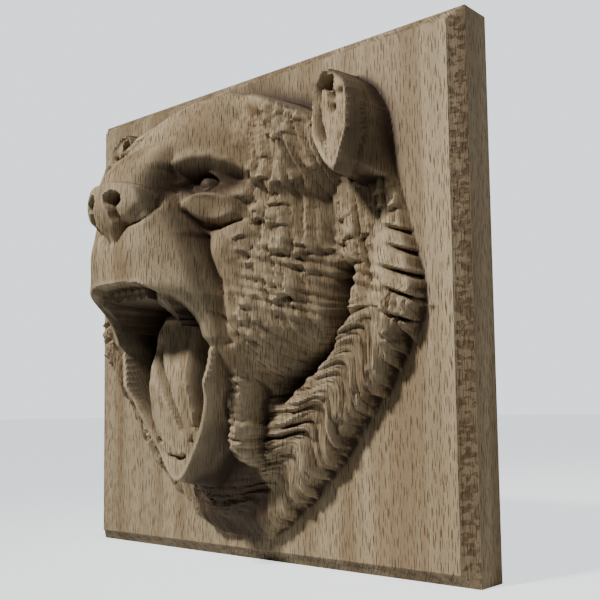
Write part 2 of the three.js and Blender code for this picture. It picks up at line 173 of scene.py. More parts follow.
def insideMane(a, z):
    widest, beard, half = head["widestAt"], head["beard"], head["halfWidth"]
    down = np.clip((widest - z) / (widest - beard), 0, 0.999)
    up = np.maximum(z - widest, 0) / 36.8
    lower = half * (1 - down) ** 0.58
    lowerSlope = lower * 0.58 / (1 - down) / (widest - beard)
    onLower = z < widest
    slope = np.where(onLower, lowerSlope, 0.29)
    side = (np.where(onLower, lower, half - 9.6 * up ** 1.1) - a) / np.hypot(1, slope)
    side = np.where(z < beard + 0.07, -np.hypot(a, beard - z), side)
    crownDrop = 4 * (a / 14.2) ** 1.4
    crownSlope = 0.394 * (a / 14.2) ** 0.4
    return meet(side, (head["crown"] - crownDrop - z) / np.hypot(1, crownSlope), 4)


def ruffHair(a, z, inside):
    # numbered strands leave the valley level, bend over the ruff's crest and hang straight down
    drop = np.clip(1 + z / 62, 0.001, 1.4)
    over = (a / 57) ** 1.613
    level = ease(6, 15, inside)
    strand = 75 * (level * drop + (1 - level) * over)
    along = level * (a - 57 * drop ** 0.62) + (1 - level) * (62 * (over - 1) - z)
    return strand, along


def mouthShare(a, z):
    middle, half = head["mouthMiddle"], head["mouthHalfWidth"]
    upper = (a / half) ** 3 + (np.maximum(z - middle, 0) / (head["mouthTop"] - middle)) ** 3
    lower = (a / half) ** 1.6 + (np.maximum(middle - z, 0) / (middle - head["mouthBottom"])) ** 1.6
    return np.where(z > middle, upper ** (1 / 3), lower ** (1 / 1.6))


def cheekDome(a, z):
    across = ((a - 13) / 31) ** 2 * np.where(a > 13, 1, 0.2)
    reach = np.where(z > -4, 58, 19 + 7 * ease(34, 18, a))
    return dome(head["cheekLevel"], across + ((z + 4) / reach) ** 2)


def furShare(a, z):  # 1 where there is fur, 0 on the bare face
    return ease(0.75, 1.15, oval(a, z, (0, 4), (26, 60), 2.2)) * ease(60, 48, z)


def ruffShare(a, z):  # 1 on the ruff, 0 on the cheek and the mane
    return ease(17, 11, cheekDome(a, z)) * ease(6, -8, z)


def maneAndCheeks(a, z, inside):
    low = ease(2, -18, z)
    mane = 3.6 + 2.6 * ease(18, 2, z) + 0.36 * np.clip(inside, 0, 30)
    outward = np.clip((head["ruffRoll"] - inside) / head["ruffRoll"], 0, 1)
    ruff = 2.5 + (7.5 - 1.5 * ease(-38, -58, z)) * np.sqrt(1 - 0.98 * outward ** 3)
    ruff = ruff + 5.5 * ease(6, 18, inside)
    ruff = ruff * (0.3 + 0.7 * ease(-70, -60, z))
    ruff = mane * (1 - low) + ruff * low
    valley = ((44.5, 7), (43.4, -5), (39.5, -13), (34, -18.5), (28, -23.5), (25.5, -26))
    ruff = ruff - head["valleyDepth"] * stroke(a, z, valley, 2.0)
    temple = dome(head["templeLevel"], ((a - 24) / np.where(a > 24, 20, 25)) ** 2 + ((z - 42) / 25) ** 2)
    beard = dome(12, oval(a, z, (0, -45), (19, 21)))
    return join(join(ruff, beard, 3), join(cheekDome(a, z), temple, 4), 2.5)


def skull(a, z):
    up = np.where(z > 28, (z - 28) / (head["crown"] - 28 + 0.8), (28 - z) / 34)
    half = 33 + 6 * ease(40, 58, z)
    height = dome(42, up ** 1.55 + (a / half) ** 2)
    height = height + 3.4 * swelling(a, z, (9.5, 43), (5, 6)) + 1.6 * swelling(a, z, (12, 54), (6, 6))
    return height - 3.4 * stroke(a, z, ((0, 45), (0, 64)), 3.2)


def muzzle(a, z):
    up = np.maximum(z - 30, 0)
    bridge = 53.2 - 0.3 * up - 0.055 * up * up
    underLip = join(54 + 1.7 * (z - 2.5), 37.5 + 0.35 * (z + 13), 5)
    crest = meet(meet(bridge, head["muzzleFront"], 2), underLip, 2)
    root = np.minimum(head["muzzleRoot"], crest)
    half = np.maximum(head["muzzleHalfWidth"] - np.where(z > 0, 0.35, 0.05) * z, 10.6)
    share = np.clip(a / half, 0, 1)
    power = 2.6 + 1.8 * ease(15, 28, z)
    side = root + (crest - root) * np.sqrt(1 - share ** power) - 2.5 * np.maximum(a - half, 0)
    return side - 1.1 * np.maximum(-11 - z, 0) - 2 * ease(-8, -18, z)


def nose(a, z, level):
    upper = oval(a, z, (0, 24), (head["noseHalfWidth"], 5.8), 3)
    share = np.minimum(upper, oval(a, z, (0, 19.5), (3.6, 5.2), 2.4))
    pad = head["noseTip"] - 0.042 * a * a - 0.05 * (z - 25) ** 2 - 9 * ease(0.86, 1.3, share)
    height = join(level, pad, 1.0)
    height = height - head["nostrilDepth"] * ease(1.5, 0.6, oval(a, z, (4.3, 24.9), (2.1, 1.8), 2, -14))
    height = height - 3.2 * ease(1.3, 0.3, oval(a, z, (4.4, 21.0), (1.3, 4.0), 2, 12))
    crease = ((1.6, 14.4), (3.0, 15.8), (5.2, 18.4), (8.4, 19.6), (11.4, 23.4), (11.2, 28))
    height = height - 1.8 * stroke(a, z, crease, 0.85)
    height = height - 0.4 * stroke(a, z, ((0, 17), (0, 3)), 0.9) - 0.5 * stroke(a, z, ((0, 22), (0, 30)), 0.8)
    return height + 1.6 * swelling(a, z, (7.5, 11.5), (5, 6))


def browAndEye(a, z, level):
    eye, up = head["eyeAcross"], head["eyeUp"]
    height = level - head["socketDepth"] * swelling(a, z, (eye - 3.6, up + 1.4), (3.0, 3.6), -12)
    height = height - 0.7 * head["socketDepth"] * swelling(a, z, (eye + 3.4, up + 1.8), (3.6, 3.0), -20)
    brow = ((11.5, 36.2), (eye - 3.5, 37.8), (eye + 0.5, 38.8),
            (eye + 4.5, 36.8), (eye + 9, 32.4), (eye + 13, 29.8))
    height = height + 2.4 * stroke(a, z, brow, 1.9) + 1.4 * swelling(a, z, (eye - 5, 42), (6, 5))
    ball = oval(a, z, (eye - 2.8, up + 0.4), (head["eyeRadius"], head["eyeRadius"]))
    height = height - 1.8 * np.exp(-((np.sqrt(ball) - 1.3) / 0.24) ** 2)
    height = np.where(ball < 1, join(height, head["eyeLevel"] + dome(head["eyeRadius"], ball), 0.6), height)
    lid = ((eye - 6.4, 30.6), (eye - 4.6, 33.6), (eye - 1.4, 34), (eye + 2.6, 31.4))
    height = height + 1.3 * stroke(a, z, lid, 0.7)
    height = height + 0.9 * stroke(a, z, ((eye - 5, 27.8), (eye + 2.4, 27.2)), 0.8)
    height = height + 2.4 * ease(1.25, 0.45, oval(a, z, (eye + 1.2, 23.9), (5.2, 4.0), 2.4, -8))
    height = height - 1.8 * stroke(a, z, ((14.6, 22.4), (16.4, 19.4), (20, 18.6), (24, 20.6)), 0.9)
    height = height + 1.2 * stroke(a, z, ((25, 27), (34, 15.5)), 2.6)
    height = height - 2.2 * stroke(a, z, ((25, 25), (30, 17)), 2.2)
    height = height - 2.6 * stroke(a, z, ((16.6, 15.6), (18.8, 9.5), (21.8, 0), (22.4, -12)), 1.1)
    height = height + 2.6 * swelling(a, z, (22.2, 13), (4.0, 5.4))
    height = height - 2.0 * stroke(a, z, ((18, 53.5), (25, 49.5), (29, 43.5), (29.5, 38)), 2.6)
    return height + 1.2 * stroke(a, z, ((20, 56), (28, 51.5), (32.5, 44.5), (33, 38)), 2)


def jaw(a, z, level, share):
    outside = np.hypot(a, z - head["mouthMiddle"]) * (1 - 1 / np.maximum(share, 0.3))
    rim = head["jawRim"] - 4.2 * ease(-16, -44, z) + 1.6 * swelling(a, z, (17, -23), (3, 3.4))
    rimWidth = 1.4 + 3.0 * ease(-38, -46, z) * ease(9, 1, a)
    side = rim - 4.4 * np.maximum(outside - rimWidth, 0) ** 1.2
    height = join(level, side * ease(-7, -14, z), 1.2)
    middle = 20.6 + 0.14 * np.minimum(z + 14, 0) + 1.4 * (drift(z / 3.2, 0 * a, 31) - 0.5)
    tuftShare = ((a - middle) / 3.7) ** 4 + (np.maximum(-38 - z, 0) / 10) ** 2
    tuft = dome(head["tuftLevel"] + 0.1 * (z + 14), tuftShare) * ease(-7, -14, z)
    rough = 1.5 * locks(0.3 * a - z, a, 4.6, 2.6, 8)
    rough = rough + 0.9 * combed(z + 0.4 * a, 2.2, 32, a) + 0.6 * combed(a, 1.7, 33, z)
    tuft = tuft + rough * ease(2, 8, tuft)
    return join(height, tuft * ease(-2, 2, outside), 1.6)


def tongue(x, z):
    a = np.abs(x)
    crest = 28 + 4.5 * np.sin(np.clip((-6 - z) / 22, 0, 1) * math.pi / 2)
    taper = np.sqrt(np.maximum(1 - (np.maximum(-30 - z, 0) / 11) ** 2, 0))
    half = np.maximum(head["tongueHalfWidth"] * taper * (0.6 + 0.4 * ease(2, 8, -z)), 0.5)
    share = np.clip(a / half, 0, 1.8)
    edge = 1.2 * np.sin(np.minimum(share, 1) * math.pi * 0.62)
    edge = edge - 50 * np.maximum(share - 0.88, 0) ** 1.4
    grooveAt = -6 + 9 * ease(-12, -36, z)
    groove = 6.0 * ease(-8, -15, z) * np.exp(-((x - grooveAt) / 1.1) ** 2)
    return np.where((z > -3) | (z < -40.6), 0, crest + edge - groove * ease(-39, -34, z))


def insideMouth(x, z, share):
    a = np.abs(x)
    height = head["throat"] + 8 * ease(-10, -40, z) + 9 * ease(0.8, 1, share)
    height = join(height, tongue(x, z), 1.5)
    gum = 29.5 * ease(1.25, 0.85, oval(a, z, (0, -41), (8.5, 4.2)))
    height = join(height, gum, 1)
    incisors = oval(np.abs(a % 2.4 - 1.2), z, (0, -40.6), (1.15, 1.9), 2.2)
    height = np.where((a < 7.2) & (incisors < 1), join(height, 30.4 + dome(0.9, incisors), 0.6), height)
    height = height - 3.6 * stroke(a, z, ((0, -43.9), (4, -43.0), (7.6, -40.2)), 1.0)
    down = (z + head["fangLength"]) / head["fangLength"]
    half = head["fangWidth"] / 2 * np.clip(down, 0.02, 1) ** 0.7
    fang = 46.5 - 2.2 * ((a - 11.6 + 0.12 * z) / half) ** 2
    onFang = (down > 0) & (np.abs(a - 11.6 + 0.12 * z) < half)
    height = np.where(onFang, join(height, fang, 0.8), height)
    tooth = np.abs(np.cos(a * math.pi / 2.8))
    front = (z > 0.6 - 1.8 * tooth ** 0.5) & (a < 8.4)
    height = np.where(front, join(height, 46 + tooth, 0.5), height)
    lowerFang = oval(a, z, (8.4, -37.4), (1.5, 2.6), 1.8, 8)
    return np.where(lowerFang < 1, join(height, 31.5 + dome(1.2, lowerFang), 0.8), height)


def ear(a, z, level):
    # a pointed shell: an upright face, narrow at the bottom, on a wider foot, and a wall between them
    tip, top = head["earBottom"], head["earTop"]
    middle = head["earAcross"] - 0.19 * (z - tip)
    rounded = np.sqrt(np.clip(1 - (np.maximum(z - top + 7, 0) / 7) ** 2, 0, 1))
    halfFace = head["earBreadth"] / 2 * np.clip((z - tip) / 11.3, 0, 1) ** 0.75 * rounded
    inFace = halfFace - np.abs(a - middle)
    footSide = 55.8 - 0.11 * (z - tip) - 8.5 * (np.maximum(z - tip - 15, 0) / 16) ** 2.4
    footTop = top + 1.5 - 0.16 * np.minimum(a - middle, 0) ** 2
    inFoot = np.minimum(footSide - a, np.minimum(z - tip, footTop - z))
    inFoot = np.minimum(inFoot, a - middle + head["earBreadth"] / 2 + 0.9)
    wall = np.clip(inFoot / np.maximum(inFoot - inFace, 0.01), 0, 1)
    rim = 14.3 + 5.5 * ease(62, 34, z)
    within = ease(0.4, 2.2, inFace)
    hole = head["earHollow"] * ease(1.4, 0.6, oval(a, z, (42.6, 57.8), (2.0, 1.9), 2.4))
    innerEdge = ((39.8, 57), (39.9, 52), (41.6, 46), (44, 41))
    groove = 0.42 * head["earHollow"] * stroke(a, z, innerEdge, 1.1)
    gaps = swelling(a, z, (44.2, 54.1), (0.8, 2.0), 28) + swelling(a, z, (45.2, 50.1), (0.7, 1.7), 22)
    gaps = gaps + 0.6 * swelling(a, z, (47.3, 54.3), (1.0, 0.9), 20)
    hairs = 0.8 * combed((a - 45) + 0.3 * (z - 45), 1.5, 21, z)
    fold = 1.1 * stroke(a, z, ((50.0, 38), (50.6, 43), (49.4, 50)), 0.8)
    hollow = np.maximum(np.maximum(1.0 * ease(33, 40, z), hole), groove) + 3.6 * gaps + fold
    height = rim * wall - within * (hollow - hairs)
    step = 0.8 * ease(0.75, 0.7, wall) * ease(z - 52.6 + 0.5 * (a - 49), 0.3, 0)
    return np.where(inFoot > 0, join(level, height - np.where(inFace < 0, step, 0), 0.8), level)


def furStrands(x, z):  # the number of the strand at a place, the way along it, and how furred the place is
    a = np.abs(x)
    inside = insideMane(a, z)
    strand, along = ruffHair(a, z, inside)
    onRuff = ruffShare(a, z) * ease(-1, 1, inside) * ease(1.0, 1.2, mouthShare(a, z))
    return strand, along, onRuff * furShare(a, z)


def slashes(a, z):  # thin wedges cut into the mane's edge, each under a low crest
    cuts = 0
    for number in range(head["slashes"]):
        level = head["highestSlash"] - head["slashGap"] * number - 0.15 * number * number
        start = 53.5 + 2.5 * hashed(number, 4)
        cut = stroke(a, z, ((start, level + 2.4), (64.5, level - 1.2)), 0.5) * ease(start - 1, 61, a)
        crest = stroke(a, z, ((start, level + 3.6), (64.5, level + 0.2)), 0.7)
        cuts = cuts + 0.8 * crest - head["slashDepth"] * cut
    return cuts


def relief(x, z):  # height of the carving in front of the board's face
    a = np.abs(x)
    inside = insideMane(a, z)
    share = mouthShare(a, z)
    height = join(maneAndCheeks(a, z, inside), skull(a, z), 3)
    height = join(height, muzzle(a, z), 2.5)
    height = nose(a, z, height)
    height = browAndEye(a, z, height)
    height = jaw(a, z, height, share)
    furred, cuts = furShare(a, z), slashes(a, z)
    strand, along = ruffHair(a, z, inside)
    ruffLocks = head["lockRelief"] * locks(along, strand, head["lockLength"], head["lockWidth"], 1)
    ruffLocks = ruffLocks + 1.6 * locks(along, strand + 1.3, 11, 4.4, 2, 0.2)
    nearEdge = ease(12, 5, inside) * (1 - ease(6, -8, z)) * ease(24, 14, z)
    onRuff = ruffShare(a, z)
    cheekWaves = 1.8 * (drift(a / 4.6, z / 22, 6) - 0.5)
    cheekWaves = cheekWaves + 1.0 * (drift((a + 0.2 * z) / 2.6, z / 12, 7) - 0.5)
    cheekTips = head["cheekLockRelief"] * locks(0.25 * a - z, a + 0.15 * z, 6.5, 4.2, 3, 0.45, 0.2)
    cheekTips = cheekTips + 1.6 * locks(0.2 * a - z, a + 0.1 * z, 3.8, 2.7, 4, 0.4, 0.25)
    onCheek = 1 - np.maximum(nearEdge, onRuff)
    fine = (1.2 * combed(strand, 2.8, 11, along) + 0.7 * combed(strand, 1.7, 13, along)) * onRuff
    hairs = 1.2 * combed(a + 0.2 * z, 2.1, 12, z) + 0.8 * combed(a + 0.25 * z, 1.4, 14, z)
    fine = fine + hairs * onCheek
    fine = fine + 1.5 * combed(z + 0.35 * a, 3.1, 15, 0.8 * a) * onCheek * ease(26, 6, z)
    coat = cuts + nearEdge + ruffLocks * onRuff + (cheekWaves + cheekTips) * onCheek
    height = height + furred * (coat - 1.0 + fine)
    lines = stroke(a, z, ((21.5, 4.5), (30, -8), (35.5, -15)), 0.45)
    lines = lines + stroke(a, z, ((20.5, -4), (27, -12), (33, -18)), 0.4)
    height = height - 0.9 * lines
    inside = inside + furred * (0.35 * cuts * nearEdge + 4.4 * (ruffLocks / 4 - 0.4) * onRuff)
    opened = ease(1, 0.93, share)
    height = height + (np.minimum(insideMouth(x, z, share), height) - height) * opened
    height = ear(a, z, height * ease(-0.5, 1.2, inside))
    return np.maximum(height, 0)


def softened(values, passes):
    for unused in range(passes):
        for axis in (0, 1):
            last = values.shape[axis] - 1
            padded = np.concatenate((values.take([0], axis), values, values.take([last], axis)), axis)
            before = padded.take(range(last + 1), axis)
            after = padded.take(range(2, last + 3), axis)
            values = (before + 2 * values + after) / 4
    return values


def sampled(raster, x, z, step=board["rasterStep"]):
    across = np.clip((x + flatHalfWidth) / step, 0, raster.shape[0] - 1.001)
    up = np.clip((z + flatHalfHeight) / step, 0, raster.shape[1] - 1.001)
    i, j = across.astype(int), up.astype(int)
    u, v = across - i, up - j
    lower = raster[i, j] * (1 - u) + raster[i + 1, j] * u
    upper = raster[i, j + 1] * (1 - u) + raster[i + 1, j + 1] * u
    return lower * (1 - v) + upper * v


def steepness(raster):
    across, up = np.gradient(raster, board["rasterStep"])
    counted = np.minimum(np.sqrt(1 + across ** 2 + up ** 2), board["steepestCounted"])
    return softened(counted, 12)


def settledNodes(detail, size):
    # the even grid of the flat face, drawn together where the relief is steep, on coarse grids first
    count = size // 4
    ends = np.linspace(-1, 1, count + 1)
    x, z = np.meshgrid(ends * flatHalfWidth, ends * flatHalfHeight, indexing="ij")
    while True:
        for unused in range({size // 4: 240, size // 2: 80}.get(count, 30)):
            weight, sumX, sumZ = 0, 0, 0
            for i, j in ((0, 1), (2, 1), (1, 0), (1, 2)):
                part = (slice(i, i + count - 1), slice(j, j + count - 1))
                pull = sampled(detail, (x[part] + x[1:-1, 1:-1]) / 2, (z[part] + z[1:-1, 1:-1]) / 2)
                weight, sumX, sumZ = weight + pull, sumX + pull * x[part], sumZ + pull * z[part]
            x[1:-1, 1:-1], z[1:-1, 1:-1] = sumX / weight, sumZ / weight
        if count == size:
            return x, z
        count *= 2
        x, z = (between(between(values).T).T for values in (x, z))


def between(values):
    finer = np.empty((values.shape[0] * 2 - 1, values.shape[1]))
    finer[::2] = values
    finer[1::2] = (values[:-1] + values[1:]) / 2
    return finer


def surfaceMarks(raster, a, z):
    # how much painted shade each place of the carving gets: in hollows, sheltered places, creases, fine
    # lines, on steep walls and in shadowed spots; where the hollow mark is below zero, on crests, it gets
    # painted highlight
    share, spacing = mouthShare(a, z), board["shelterSpacing"]
    # painted shadows in the eye socket under the brow, deep in the mouth, on the jaw's outer wall and under
    # the chin
    eyeHollow = 1.3 * swelling(a, z, (head["eyeAcross"] - 2.0, 31.2), (8.0, 4.8))
    darkBelow = 18 + 20 * np.maximum(ease(-6, -2, z), ease(-14, -6, z) * ease(7.5, 9.5, a))
    throat = ease(1.0, 0.94, share) * ease(darkBelow + 8, darkBelow, raster)
    jawWall = ease(1.1, 1.2, share) * ease(1.9, 1.6, share)
    jawWall = jawWall * ease(-8, -16, z) * ease(29, 24, raster) * ease(16.5, 15, a)
    chin = 0.8 * swelling(a, z, (0, -64), (13, 11)) * ease(0.5, 3, raster)
    onTuft = stroke(a, z, ((21.2, -12), (20, -22), (18.6, -38)), 3.6)
    across, up = np.gradient(softened(raster, 30), board["rasterStep"])
    coarse = raster[::spacing, ::spacing]
    marks = {
        "hollow": np.clip((softened(raster, 60) - raster) / 3, -1, 1),
        "sheltered": np.clip((softened(coarse, 60) - coarse) / 9, 0, 1),
        "crease": np.clip((softened(raster, 8) - raster) / 1.5, -1, 1),
        "line": np.clip((softened(raster, 2) - raster) / 0.3, -1, 1),
        "wall": np.clip((np.hypot(across, up) - 1.5) / 3, 0, 1),
        "shaded": np.clip(eyeHollow + throat + jawWall + chin, 0, 1),
    }
    # the tuft gets less painted shade, as though the light reached it
    lit = 1 - 0.85 * onTuft
    marks["sheltered"] = marks["sheltered"] * lit[::spacing, ::spacing]
    for name in ("crease", "wall"):
        marks[name] = marks[name] * lit
    return marks


def carvedPlaque():
    step, rings = board["rasterStep"], board["chamferRings"]
    xs = np.arange(-flatHalfWidth, flatHalfWidth + step / 2, step)
    zs = np.arange(-flatHalfHeight, flatHalfHeight + step / 2, step)
    acrossFace, upFace = np.meshgrid(xs, zs, indexing="ij")
    raster = relief(acrossFace, upFace)
    print("relief worked out", raster.shape, "highest", raster.max())

    squares = board["squares"]
    faceX, faceZ = settledNodes(steepness(raster), squares)
    faceY = -board["thickness"] - sampled(raster, faceX, faceZ)
    marks = surfaceMarks(raster, np.abs(acrossFace), upFace)
    coarseStep = board["shelterSpacing"] * step
    markAt = {name: sampled(values, faceX, faceZ, coarseStep if name == "sheltered" else step)
              for name, values in marks.items()}
    strandAt = np.stack(furStrands(faceX, faceZ), axis=-1)
    print("grid settled")

    bm = bmesh.new()
    bmesh.ops.create_grid(bm, x_segments=squares + 2 * rings, y_segments=squares + 2 * rings, size=0.5)
    total = squares + 2 * rings
    for name in (*marks, "torn"):
        bm.verts.layers.float.new(name)
    layers = bm.verts.layers.float
    strands = bm.verts.layers.float_vector.new("strands")
    for vert in bm.verts:
        i, j = round((vert.co.x + 0.5) * total), round((vert.co.y + 0.5) * total)
        ring = min(i, j, total - i, total - j)
        column, row = min(max(i - rings, 0), squares), min(max(j - rings, 0), squares)
        x, y, z = faceX[column, row], faceY[column, row], faceZ[column, row]
        if ring < rings:
            out = board["chamferWidth"] / rings
            x += out * (max(i - rings - squares, 0) - max(rings - i, 0))
            z += out * (max(j - rings - squares, 0) - max(rings - j, 0))
            y = -board["thickness"] + board["chamferDepth"] * (1 - ring / rings) + board["chamferStep"]
            vert[layers["torn"]] = 1.0 if min(i, total - i) == ring else 0.6
        else:
            vert[strands] = strandAt[column, row]
            for name in marks:
                vert[layers[name]] = markAt[name][column, row]
        vert.co = (x * mm, y * mm, z * mm)
    rim = [edge for edge in bm.edges if edge.is_boundary]
    sides = bmesh.ops.extrude_edge_only(bm, edges=rim)["geom"]
    for vert in sides:
        if isinstance(vert, bmesh.types.BMVert):
            vert.co.y = 0
    bmesh.ops.edgeloop_fill(bm, edges=[edge for edge in bm.edges if edge.is_boundary])
    bmesh.ops.recalc_face_normals(bm, faces=bm.faces)
    for edge in bm.edges:
        edge.smooth = edge.calc_face_angle(0) < math.radians(board["sharpAngle"])
    mesh = bpy.data.meshes.new("bearPlaqueCarving")
    bm.to_mesh(mesh)
    bm.free()
    mesh.shade_smooth()
    plaque = bpy.data.objects.new("bearPlaque", mesh)
    bpy.context.scene.collection.objects.link(plaque)
    return plaque


def linear(hexColour):
    channels = [int(hexColour[i:i + 2], 16) / 255 for i in (1, 3, 5)]
    return [c / 12.92 if c <= 0.04045 else ((c + 0.055) / 1.055) ** 2.4 for c in channels] + [1]


def addNode(tree, kind, settings=None, inputs=None):
    node = tree.nodes.new(kind)
    for name, value in (settings or {}).items():
        setattr(node, name, value)
    for name, value in (inputs or {}).items():
        if isinstance(value, bpy.types.NodeSocket):
            tree.links.new(value, node.inputs[name])
        else:
            node.inputs[name].default_value = value
    return node


beechWood = {
    "light": "#b6a98f",      # freshly carved face, almost white where the light falls
    "pale": "#d2c5ac",       # painted highlight on the crests of the hair
    "dark": "#8c7c62",       # latewood bands
    "fleck": "#57422f",      # the short dark rays of beech
    "paintedShade": "#33231a",      # painted shade for cuts, hollows, hair grooves and steep walls
    "torn": "#4a3524",       # torn grain on the chamfers
    "patch": "#9c8b70",      # broad, barely darker places
    "bandSpacing": 9.0,      # mm
    "fibreSpacing": 0.35,    # mm
    "fleckSpacing": 1.15,    # mm across
    "fleckLength": 4.8,      # mm along the grain
    "speckleSize": 0.45,     # mm
    "rungSpacing": 1.5,      # mm up the chamfers
    "hairSpacing": 1.1,      # strands, of about a millimetre each
    "grainTurn": 12,         # mm left of the middle, where the grain is counted the other way
    "roughness": 0.66,
    "relief": 0.1,           # mm that the grain stands up or lies low
}


def beech():
    # unfinished beech: pale, dull, with straight grain up the board and short dark ray flecks
    wood = bpy.data.materials.new("carvedBeech")
    wood.use_nodes = True
    tree = wood.node_tree
    tree.nodes.clear()
    place = addNode(tree, "ShaderNodeTexCoord").outputs["Object"]
    axes = addNode(tree, "ShaderNodeSeparateXYZ", inputs={0: place}).outputs
    mark = {name: addNode(tree, "ShaderNodeAttribute", {"attribute_name": name}).outputs["Fac"]
            for name in ("hollow", "sheltered", "crease", "line", "wall", "shaded", "torn")}
    # the grain runs up the board, and is counted outwards and backwards to turn round the carving
    fromTurn = addNode(tree, "ShaderNodeMath", inputs={0: axes[0], 1: beechWood["grainTurn"] * mm}).outputs[0]
    outwards = addNode(tree, "ShaderNodeMath", {"operation": "SIGN"}, {0: fromTurn}).outputs[0]
    across = addNode(tree, "ShaderNodeMath", {"operation": "MULTIPLY_ADD"}, {
        0: axes[1], 1: outwards, 2: axes[0]}).outputs[0]
    grain = addNode(tree, "ShaderNodeCombineXYZ", inputs={0: across, 1: axes[2]}).outputs[0]
    strands = addNode(tree, "ShaderNodeAttribute", {"attribute_name": "strands"}).outputs["Vector"]

    # each pattern's spacing across, back and up in millimetres, or in strands and along them
    noise = {}
    band, speckle, rung = beechWood["bandSpacing"], beechWood["speckleSize"], beechWood["rungSpacing"]
    for name, vector, sizes, detail in (
            ("bands", place, (band, band * 2, 220), 3),
            ("patches", place, (30, 30, 70), 2),
            ("fibres", grain, (beechWood["fibreSpacing"], 9, 1), 3),
            ("speckle", place, (speckle, speckle, speckle * 2), 2),
            ("rungs", place, (rung * 2, rung * 2, rung), 1),
            ("pits", place, (1.1, 1.1, 1.3), 2),
            ("hairs", strands, (beechWood["hairSpacing"], 14, 400), 2)):
        scale = [(1 if name == "hairs" else 1 / mm) / size for size in sizes]
        spread = addNode(tree, "ShaderNodeMapping", inputs={"Vector": vector, "Scale": scale}).outputs[0]
        noise[name] = addNode(tree, "ShaderNodeTexNoise", inputs={
            "Vector": spread, "Scale": 1.0, "Detail": detail, "Roughness": 0.58}).outputs["Fac"]

    flecks = []
    for spacing, seed in ((1.0, 0.0), (0.75, 7.3)):
        sizes = (beechWood["fleckSpacing"] * spacing, beechWood["fleckLength"] * spacing)
        scale = (1 / mm / sizes[0], 1 / mm / sizes[1], 1)
        spread = addNode(tree, "ShaderNodeMapping", inputs={
            "Vector": grain, "Scale": scale, "Location": (seed, seed, 0)}).outputs[0]
        cells = addNode(tree, "ShaderNodeTexVoronoi", {"voronoi_dimensions": "2D"}, {
            "Vector": spread, "Scale": 1.0})
        offset = addNode(tree, "ShaderNodeVectorMath", {"operation": "SUBTRACT"}, {
            0: spread, 1: cells.outputs["Position"]}).outputs[0]
        narrow = addNode(tree, "ShaderNodeVectorMath", {"operation": "MULTIPLY"}, {
            0: offset, 1: (3.2, 1, 0)}).outputs[0]
        length = addNode(tree, "ShaderNodeVectorMath", {"operation": "LENGTH"}, {0: narrow}).outputs["Value"]
        chosen = addNode(tree, "ShaderNodeSeparateColor", inputs={0: cells.outputs["Color"]}).outputs[0]
        shape = addNode(tree, "ShaderNodeMapRange", {"interpolation_type": "SMOOTHSTEP"}, {
            "Value": length, "From Min": 0.44, "From Max": 0.24}).outputs[0]
        flecks.append(addNode(tree, "ShaderNodeMath", {"operation": "MULTIPLY"}, {
            0: shape, 1: chosen}).outputs[0])
    fleck = addNode(tree, "ShaderNodeMath", {"operation": "MAXIMUM"}, {0: flecks[0], 1: flecks[1]}).outputs[0]

    # the three patterns of which only the dark parts count, from one value to another
    for name, low, high, least in (
            ("hairs", 0.5, 0.36, 0), ("rungs", 0.45, 0.58, 0), ("pits", 0.42, 0.62, 0.35)):
        noise[name] = addNode(tree, "ShaderNodeMapRange", {"interpolation_type": "SMOOTHSTEP"}, {
            "Value": noise[name], "From Min": low, "From Max": high, "To Min": least}).outputs[0]
    # painted shade in the hair grooves on the ruff, where the strands' third part says how furred it is
    furred = addNode(tree, "ShaderNodeSeparateXYZ", inputs={0: strands}).outputs[2]
    hairLine = addNode(tree, "ShaderNodeMath", {"operation": "MULTIPLY"}, {
        0: noise["hairs"], 1: furred}).outputs[0]
    # torn end grain on the chamfers, in dark rungs with small pits
    torn = addNode(tree, "ShaderNodeMath", {"operation": "MULTIPLY"}, {
        0: noise["rungs"], 1: noise["pits"]}).outputs[0]
    torn = addNode(tree, "ShaderNodeMath", {"operation": "MULTIPLY_ADD"}, {
        0: torn, 1: 0.75, 2: 0.4}).outputs[0]
    chamferBack = (board["chamferDepth"] + board["chamferStep"] - board["thickness"] - 0.05) * mm
    onChamfer = addNode(tree, "ShaderNodeMath", {"operation": "LESS_THAN"}, {
        0: axes[1], 1: chamferBack}).outputs[0]
    for limit in (mark["torn"], onChamfer):
        torn = addNode(tree, "ShaderNodeMath", {"operation": "MULTIPLY"}, {
            0: torn, 1: limit}).outputs[0]

    # one layer of colour over another: what shows it, from which value, to which value, how strongly
    colour = linear(beechWood["light"])
    for value, low, high, most, tone in (
            (noise["bands"], 0.35, 0.65, 1.0, "dark"),
            (noise["fibres"], 0.35, 0.75, 0.5, "dark"),
            (noise["patches"], 0.4, 0.7, 0.3, "patch"),
            (noise["speckle"], 0.5, 0.75, 0.3, "fleck"),
            (fleck, 0.05, 0.6, 0.95, "fleck"),
            (hairLine, 0, 1, 0.4, "paintedShade"),
            (torn, 0, 1, 0.75, "torn"),
            # painted highlight where the relief stands above its softened surroundings
            (mark["hollow"], -0.1, -0.6, 0.3, "pale"),
            # painted shade: darker in sheltered places, hollows, creases and fine lines, on steep walls and
            # in shadowed spots
            (mark["sheltered"], 0.1, 0.9, 0.75, "paintedShade"),
            (mark["hollow"], 0.1, 1.0, 0.8, "paintedShade"),
            (mark["crease"], 0.1, 1.0, 0.6, "paintedShade"),
            (mark["line"], 0.1, 0.8, 0.6, "paintedShade"),
            (mark["wall"], 0.1, 1.0, 0.55, "paintedShade"),
            (mark["shaded"], 0.1, 1.0, 0.85, "paintedShade")):
        share = addNode(tree, "ShaderNodeMapRange", {"interpolation_type": "SMOOTHSTEP"}, {
            "Value": value, "From Min": low, "From Max": high, "To Max": most}).outputs[0]
        colour = addNode(tree, "ShaderNodeMix", {"data_type": "RGBA"}, {
            0: share, 6: colour, 7: linear(beechWood[tone])}).outputs[2]

